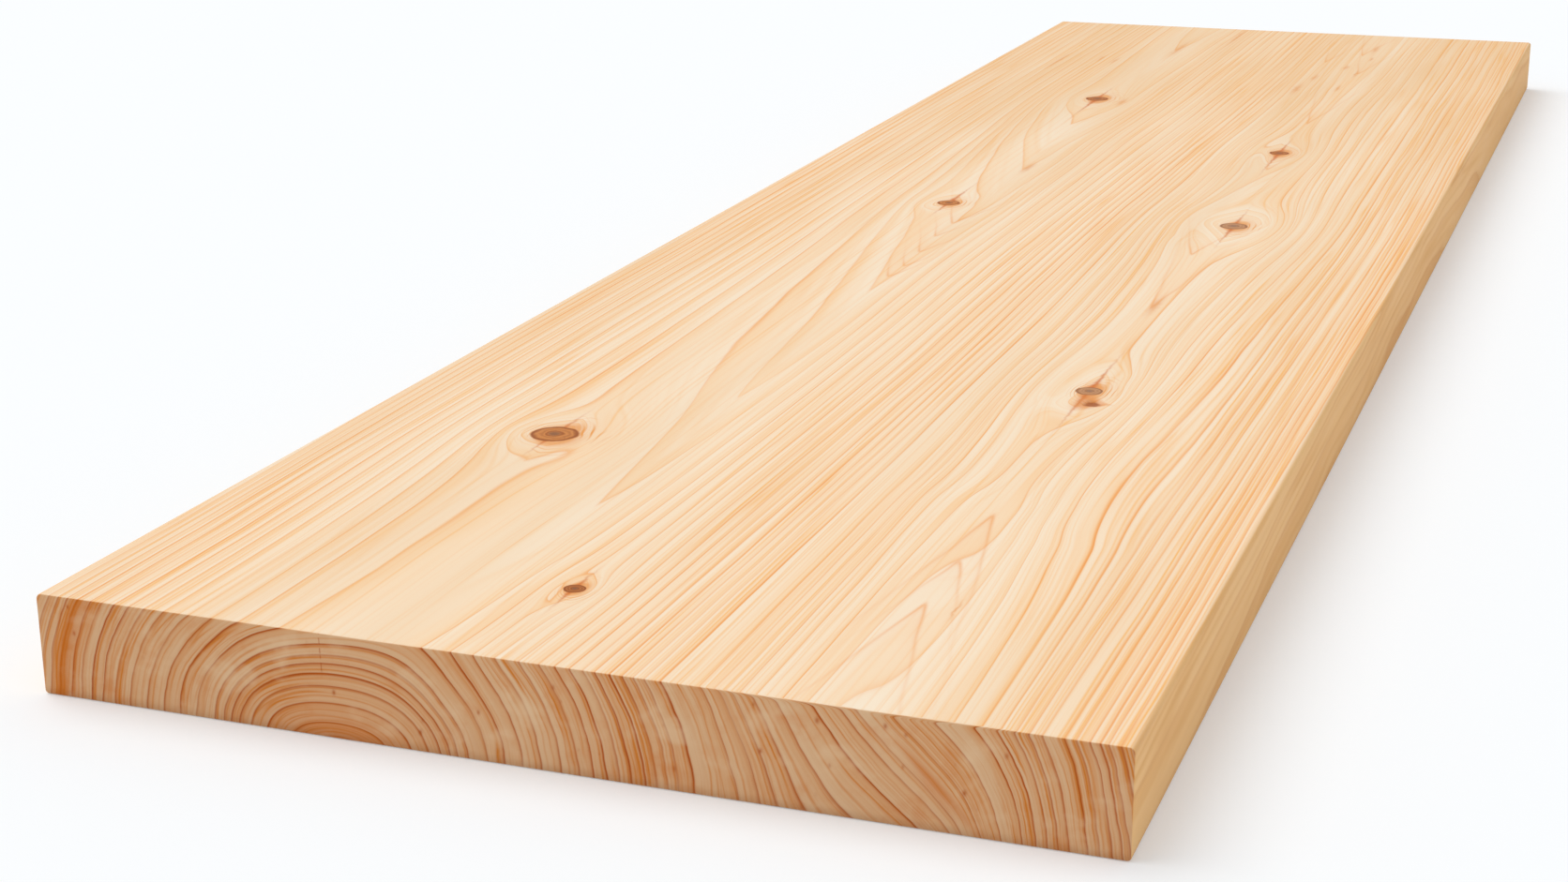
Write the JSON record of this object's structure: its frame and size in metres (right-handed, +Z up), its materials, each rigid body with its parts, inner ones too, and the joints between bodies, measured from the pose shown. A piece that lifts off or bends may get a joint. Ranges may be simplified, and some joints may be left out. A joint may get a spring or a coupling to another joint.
{
  "type": "softwood plank",
  "caption": "Flat planed softwood board with eased long edges and square-cut ends, for shelving, cladding and general joinery.",
  "frame": {"origin": "centre of the underside, on the surface that the board lies on", "axes": "+X across the width, +Y along the length and grain, +Z up through the thickness"},
  "size_m": [0.29, 1.08, 0.028],
  "materials": {
    "softwood": "planed and unfinished, pale cream with orange-brown growth rings and brown knots"
  },
  "bodies": {
    "root": {"plank": "softwood"}
  },
  "joints": []
}
